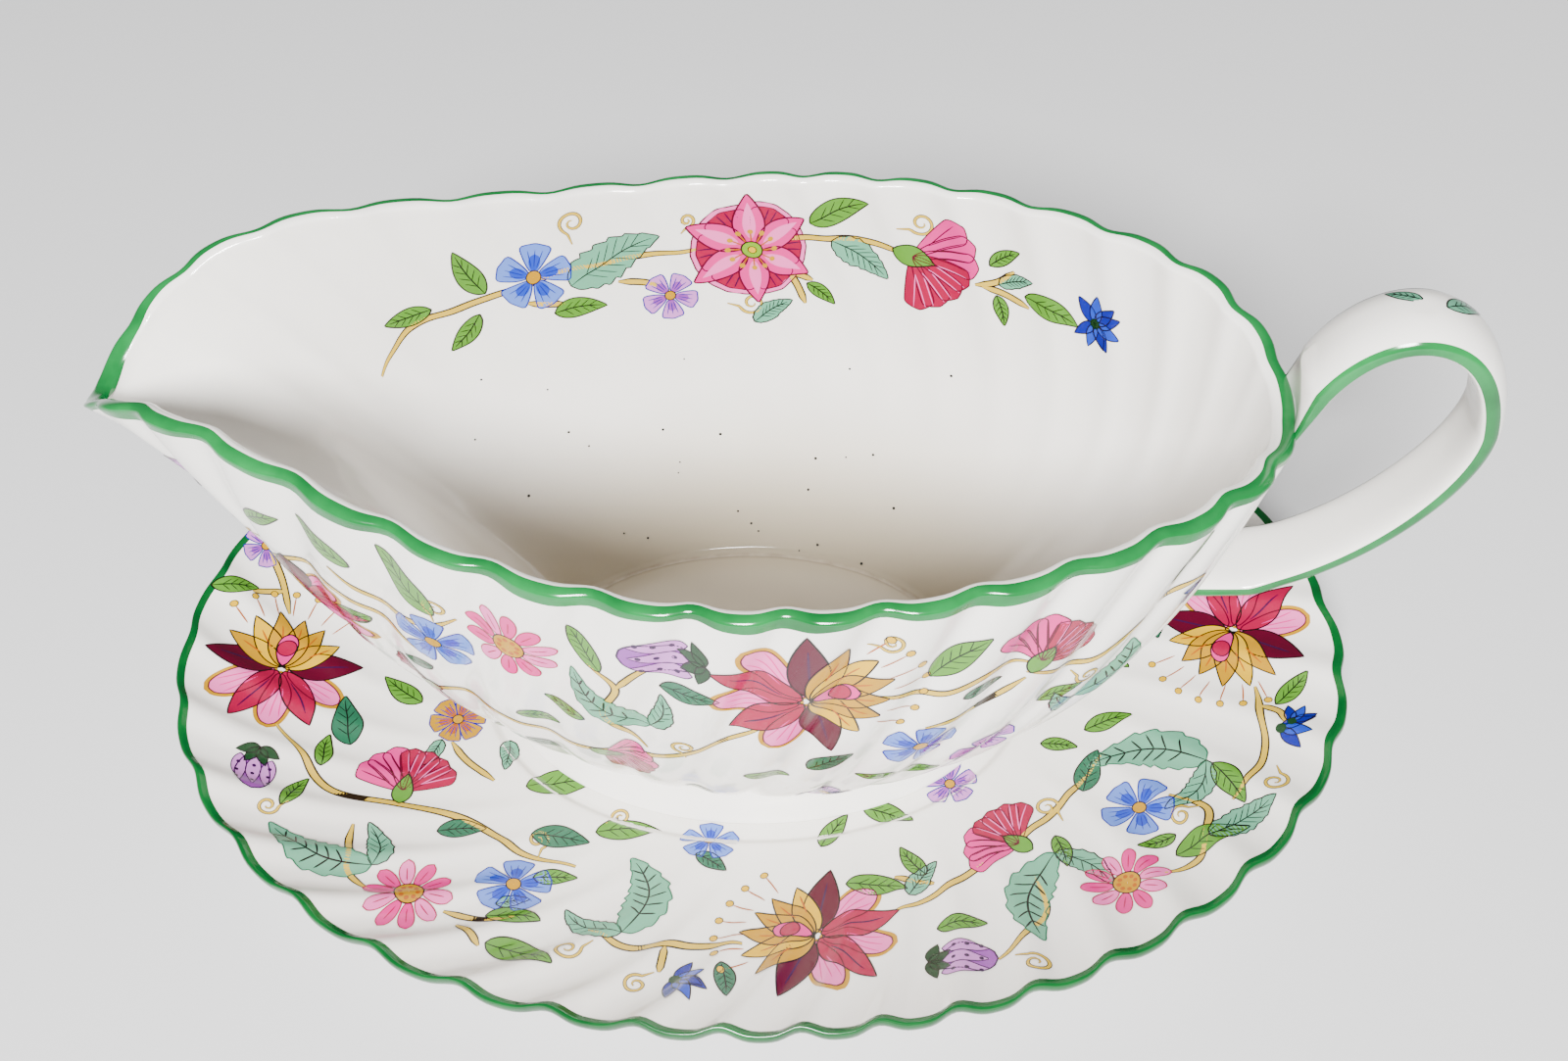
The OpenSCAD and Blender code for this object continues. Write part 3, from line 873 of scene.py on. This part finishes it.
def frond(pt, at, length, angle, hand=1):
    """A broad pale leaf with teeth that bends over, and a smaller one beside it."""
    size, bend = (length, length * 0.44), 0.55 * hand
    mid = blade(pt, at, size, angle, "aqua", toothed, FILL, (0, 0), 0.26, bend, ink="aqua_dark")
    ribbon(pt, at, mid[: int(len(mid) * 0.94)], 0.34, "vein", MARK)
    n = len(mid)
    for i in range(2, 8):
        k = int(n * i / 9)
        t = mid[min(k + 1, n - 1)] - mid[k - 1]
        t /= np.linalg.norm(t)
        w = float(toothed(np.array([i / 9 + 0.001]))[0]) * length * 0.2
        for s in (1, -1):
            tip = mid[k] + t * length * 0.08 + s * np.array([-t[1], t[0]]) * w * 0.75
            ribbon(pt, at, np.stack([mid[k], tip]), 0.34, "vein", MARK)
    leaf(pt, at, length * 0.6, angle - 58 * hand, "aqua", 0.42, toothed, 4, bend=-0.4 * hand)


MOTIFS = {
    "bloom": bloom, "daisy": lambda p, a, s, t: daisy(p, a, s, turn=t), "carnation": carnation, "bell": bell,
    "blue": lambda p, a, s, t: blue_flower(p, a, s, turn=t), "bud": bud, "star": star_flower,
}


def spray(pt, rows, to):
    """Draws motifs listed as (kind, place, size, angle)."""
    for kind, place, size, angle in rows:
        at = pt.frame(to(place))
        if kind == "leaf":
            leaf(pt, at, size, angle, offset=-0.5 * size * rot(angle)[:, 0])
        elif kind == "dark":
            leaf(pt, at, size, angle, "aqua_dark", 0.46, offset=-0.5 * size * rot(angle)[:, 0])
        elif kind == "broad":
            leaf(pt, at, size, angle, "aqua", 0.48, toothed, 6, -0.5 * size * rot(angle)[:, 0])
        elif kind in ("frond", "frond_left"):
            frond(pt, at, size, angle, -1 if kind == "frond" else 1)
        elif kind in ("curl", "curl_left"):
            tendril(pt, at, size, angle, -1 if kind == "curl" else 1)
        elif kind == "gold":
            blue_flower(pt, at, size, 6, angle, "gold", "yellow")
        elif kind == "violet":
            blue_flower(pt, at, size, 5, angle, "lilac", "lilac_light")
        else:
            MOTIFS[kind](pt, at, size, angle)


def round_wall(place):
    return (math.radians(place[0]), place[1])


OUTER = [
    ("leaf", (246, .87), 15, 130), ("daisy", (255, .79), 8, 10), ("leaf", (262, .85), 10.5, 118),
    ("frond_left", (266, .60), 17, 132), ("bud", (272.2, .865), 12, 182), ("dark", (270.5, .75), 9, -6),
    ("bloom", (282, .76), 15, 6), ("leaf", (297, .83), 12.5, 42), ("dark", (300, .70), 7, 12),
    ("carnation", (308, .80), 8, 60), ("frond", (318, .45), 17, 62), ("leaf", (327, .88), 10.5, 55),
    ("bell", (334, .74), 5, 215), ("blue", (246, .68), 7, 20), ("carnation", (262, .40), 7, -20),
    ("leaf", (254, .50), 8, 6), ("leaf", (277, .42), 8, -10), ("dark", (284, .50), 9, 35),
    ("blue", (294, .52), 6, 0), ("violet", (304, .40), 6, 30), ("leaf", (296, .34), 8, 5),
    ("leaf", (237, .86), 11.5, 150), ("bloom", (222, .55), 12.5, 170), ("leaf", (233, .60), 10.5, 200),
    ("carnation", (236, .40), 6.5, 205), ("dark", (206, .72), 9, 170), ("bud", (212, .80), 9, 150),
    ("leaf", (228, .82), 9, 30), ("curl_left", (247, .78), 4.5, 60), ("curl", (288, .90), 4, 30),
    ("dark", (250, .30), 8, -10), ("leaf", (345, .62), 8, 60), ("curl", (312, .62), 4.5, -20),
    ("leaf", (240, .22), 7, 20), ("leaf", (268, .22), 7, 10), ("violet", (285, .22), 5, 0),
    ("leaf", (258, .60), 8, 160), ("dark", (241, .54), 7, 200), ("leaf", (290, .38), 7, 170),
    ("curl_left", (268, .50), 4, 70), ("leaf", (312, .56), 8, 20), ("leaf", (229, .50), 8, 240),
]
OUTER_STEMS = [
    [(236, .36), (244, .46), (254, .42), (264, .46), (272, .56), (278, .68)],
    [(288, .76), (295, .72), (301, .76), (305, .75)], [(265, .50), (262, .62), (264, .74), (262, .80)],
    [(264, .74), (266, .80), (268, .84)], [(250, .80), (246, .74), (240, .72), (236, .78)],
    [(305, .72), (314, .66), (322, .74), (330, .78), (334, .76)], [(294, .60), (300, .62), (305, .70)],
    [(222, .66), (230, .70), (238, .66), (244, .60)],
]
INNER = [
    ("leaf", (128, .73), 9, 190), ("leaf", (122, .66), 9, 230), ("leaf", (119, .82), 11, 120),
    ("blue", (112.5, .79), 7, 10), ("broad", (104, .81), 20, 28), ("leaf", (108.5, .68), 10, 0),
    ("violet", (99, .685), 5.2, 200), ("star", (90, .81), 11.5, 92), ("leaf", (79.5, .92), 12, 24),
    ("broad", (77, .785), 13, -38), ("carnation", (67, .79), 9.5, -20), ("leaf", (58.5, .86), 7, 38),
    ("broad", (56.5, .80), 7, 22), ("leaf", (58, .71), 6.5, -72), ("leaf", (50.5, .755), 11, -12),
    ("bell", (43.5, .77), 5.2, -8), ("bell", (43.5, .77), 5.2, 95), ("bell", (43.5, .77), 4.6, -95),
    ("broad", (88, .62), 9, 35), ("leaf", (82, .67), 7, -42), ("curl", (93, .63), 5, 12),
    ("curl_left", (108.5, .88), 5, 70), ("curl", (72, .875), 5, 35), ("curl", (96.5, .87), 3, 80),
]
INNER_STEMS = [
    [(136, .60), (128, .70), (118, .745), (108, .80), (96, .82), (92, .82)],
    [(88, .83), (80, .845), (72, .825), (70, .82)], [(104, .75), (101, .73), (99, .70)],
    [(86, .74), (85, .70), (84, .64)], [(86, .74), (83, .71)], [(62, .77), (59, .79), (57, .83)],
    [(61, .77), (58, .76), (54, .74)], [(114, .72), (110, .70)],
]
STAND = [
    ("violet", (-101, 20), 4.8, 0), ("leaf", (-104, 9), 9, 14), ("leaf", (-97, 28), 8, 80),
    ("bloom", (-91, -6.5), 14.5, 96), ("bloom", (17, -56), 14.5, 172), ("bloom", (91, 10), 14.5, 240),
    ("daisy", (-54, -54.5), 7.8, 0), ("daisy", (69.5, -45), 7.4, 12), ("carnation", (-62, -26), 8, 95),
    ("carnation", (48, -33), 7.6, 150), ("blue", (-37, -49.5), 6.6, 90), ("blue", (72.5, -28), 6.4, 60),
    ("bud", (-89, -27), 11, 265), ("bud", (37, -61.5), 11, 4), ("gold", (-56, -12.5), 5.4, 20),
    ("bell", (98, -14), 5, -20), ("bell", (100, -13), 4, 60), ("bell", (-5, -67.5), 5.4, -60),
    ("bell", (-5, -67.5), 4.6, 20), ("blue", (-4, -36), 5.4, 90), ("violet", (39, -21), 5, 20),
    ("frond_left", (-62, -49), 20, 158), ("frond", (-16, -58), 20, 100), ("frond", (58, -38), 20, -95),
    ("frond", (85, -19), 21, 178), ("dark", (-31, -38), 11, -4), ("dark", (64.5, -19), 10, 75),
    ("leaf", (-35, -57), 10, -2), ("leaf", (-32, -65), 13, -16), ("leaf", (-33, -25), 14, 14),
    ("leaf", (-19, -35), 12, 8), ("leaf", (18.5, -32.5), 9, 62), ("leaf", (28, -28.5), 10, -18),
    ("dark", (3, -67), 8, -70), ("leaf", (27, -45), 11, -4), ("leaf", (42, -53.5), 9, 8),
    ("leaf", (59, -37.5), 8, -70), ("leaf", (84, -37), 13, 24), ("broad", (90, -33), 14, 34),
    ("leaf", (88, -24.5), 11, -65), ("leaf", (100.5, -5), 9, 42), ("leaf", (-78, -24), 8, 100),
    ("leaf", (-80, -35), 8, 75), ("dark", (-49, -38), 9, 12), ("leaf", (-68, -7), 10, 150),
    ("broad", (-59, -21), 7, 250), ("broad", (-45, -19.5), 8, 272), ("dark", (-76, -16), 12, 110),
    ("broad", (-36, -53), 6, 20), ("leaf", (59, -13), 7, -10), ("leaf", (68, -8), 9, 20),
    ("dark", (-3, -41), 7, -30), ("broad", (35, -43), 9, 60), ("leaf", (33, -39), 8, 130),
    ("curl_left", (-80, -39), 4, 190), ("curl_left", (-20, -62), 5, 200), ("curl", (-10, -66), 4.4, 260),
    ("curl", (82, -28), 4.6, -130), ("curl", (60, -29), 4.6, 150), ("curl_left", (97, -22), 4.6, -110),
    ("curl", (-33, -42), 4.4, 120), ("curl_left", (52, -60), 4.6, -60), ("leaf", (-30, -47), 8, 10),
    ("leaf", (75, -36), 7, 200), ("curl_left", (-24, -33), 3.6, 30),
]
STAND_STEMS = [
    [(-93, 6), (-96, 13), (-100, 19)], [(-95, 11), (-101, 9)],
    [(-88, -20), (-82, -26), (-74, -33), (-62, -34), (-48, -36), (-37, -42), (-27, -44)],
    [(30, -51), (38, -46), (47, -38), (56, -30), (63, -21), (67, -15)],
    [(-68, -40), (-66, -50), (-60, -55)], [(-47, -57), (-40, -58), (-35, -57)],
    [(5, -59), (-6, -60), (-14, -61), (-22, -58)], [(48, -61), (53, -56), (56, -50), (54, -42)],
    [(76, -44), (82, -40), (84, -30), (78, -26)], [(94, -3), (95, -12), (93, -22), (88, -28)],
    [(95, -8), (98, -10), (99, -13)], [(-56, -18), (-52, -22), (-46, -26)], [(-44, -60), (-39, -64)],
    [(-8, -61), (-8, -66)], [(37, -44), (30, -43)],
]


def paint():
    inner = Painter(inner_q, (-1, 1), -1, (0.002, 0.003))
    for line in INNER_STEMS:
        stem(inner, [round_wall(q) for q in line], 0.95)
    spray(inner, INNER, round_wall)
    specks = np.random.default_rng(7)  # small dark specks in the glaze
    count = 26
    turns, heights = specks.uniform(60, 130, count), specks.uniform(0.02, 1, count) ** 1.6 * 0.6
    for t, h, r in zip(turns, heights, specks.uniform(0.14, 0.3, count)):
        disc(inner, inner.frame(round_wall((t, h))), r, "vein", FILL, line=0)
    inner.finish("boat_inside_flowers", "boat")
    for name, side in (("near", 1), ("far", -1)):  # the far wall has the near wall's spray, mirrored
        outer = Painter(outer_q, (side, 1), 1, (0.002, 0.003))
        turned = round_wall if side > 0 else (lambda q: round_wall((360 - q[0], q[1])))
        for line in OUTER_STEMS:
            stem(outer, [turned(q) for q in line], 0.95)
        spray(outer, OUTER, turned)
        outer.finish("boat_%s_flowers" % name, "boat")
    for name, side in (("front", 1), ("back", -1)):  # and the stand's border turns half round
        dish = Painter(stand_q, (side, side), 1, (0.3, 0.3))
        turned = lambda q: (side * q[0], side * q[1])
        if side < 0:
            rows = [r for r in STAND if abs(r[1][0]) < 88 or r[1][1] < -21]
            stems = [q for q in STAND_STEMS if abs(q[0][0]) < 93]
        else:
            rows, stems = STAND, STAND_STEMS
        for line in stems:
            stem(dish, [turned(q) for q in line], 1.0)
        spray(dish, rows, turned)
        dish.finish("stand_%s_flowers" % name, "stand")
    top = Painter(crown_place, (1, 1), 1, (0.004, 0.3))
    leaf(top, top.frame((0.3, 0.0)), 8, 24, "aqua", 0.4)
    leaf(top, top.frame((0.27, 1.5)), 6, 150, "aqua", 0.36)
    top.finish("handle_leaf", "boat")


def crown_place(q):
    """A place on the handle's outer face: share along the strap, mm sideways."""
    k, y = np.clip(q[..., 0], 0.1, 0.95), q[..., 1]
    u = 2 * k
    x = curve3(handle_end_reach - 0.6, handle_end_reach + 2, reach_x - 2.5, reach_x, u)
    z = curve3(top_join_z, crown_z + 5, crown_z + 9, rim_z - 6, u)
    dx = curve3(handle_end_reach - 0.6, handle_end_reach + 2, reach_x - 2.5, reach_x, u + 0.01) - x
    dz = curve3(top_join_z, crown_z + 5, crown_z + 9, rim_z - 6, u + 0.01) - z
    n = np.hypot(dx, dz)
    across = 2 * y / strap_width
    o = strap_edge / 2 * (1 - np.abs(across) ** 3.6) ** 0.35 + strap_dome * (1 - across**2)
    return np.stack([x - dz / n * o, y, z + dx / n * o], -1)


paint()


# ---- floor, light and camera ----
def plain(name, rgb, rough):
    m = bpy.data.materials.new(name)
    m.use_nodes = True
    b = m.node_tree.nodes["Principled BSDF"]
    b.inputs["Base Color"].default_value = rgb + (1.0,)
    b.inputs["Roughness"].default_value = rough
    b.inputs["Specular IOR Level"].default_value = 0.15
    return m


bpy.ops.mesh.primitive_plane_add(size=8, location=(0, 0, -0.0002))
floor = bpy.context.object
floor.name = "studio_floor"
floor.data.materials.append(plain("studio floor", (0.62, 0.62, 0.625), 0.7))


def softbox(name, at, size, watts):
    lamp = bpy.data.lights.new(name, "AREA")
    lamp.shape, lamp.size, lamp.energy = "DISK", size, watts
    ob = bpy.data.objects.new(name, lamp)
    ob.location = at
    aim = Vector((0.0, 0.0, 0.05)) - Vector(at)
    ob.rotation_euler = aim.to_track_quat("-Z", "Y").to_euler()
    bpy.context.scene.collection.objects.link(ob)


softbox("key", (-0.05, -1.06, 1.0), 0.42, 86.0)
softbox("fill", (0.6, 0.3, 1.3), 1.2, 0.8)
world = bpy.data.worlds.new("studio")
world.use_nodes = True
world.node_tree.nodes["Background"].inputs[0].default_value = (1.0, 0.97, 0.93, 1.0)
world.node_tree.nodes["Background"].inputs[1].default_value = 0.16
bpy.context.scene.world = world

FOCAL, DISTANCE, TALL, TURN, ROLL = 1743.2 / 1600, 0.29848, 48.47, 9.63, -5.6
back = Vector((float(sin(TURN) * cos(TALL)), float(-cos(TURN) * cos(TALL)), float(sin(TALL))))
look = back.to_track_quat("Z", "Y").to_matrix()
spin = Matrix.Rotation(math.radians(ROLL), 3, "Z")
camera = bpy.data.cameras.new("camera")
camera.sensor_width, camera.lens, camera.clip_start = 36.0, 36.0 * FOCAL, 0.01
shot = bpy.data.objects.new("camera", camera)
aimed_at = Vector((0.009134, 0, 0.051949))
shot.matrix_world = Matrix.Translation(aimed_at + back * DISTANCE) @ (look @ spin).to_4x4()
bpy.context.scene.collection.objects.link(shot)
bpy.context.scene.camera = shot
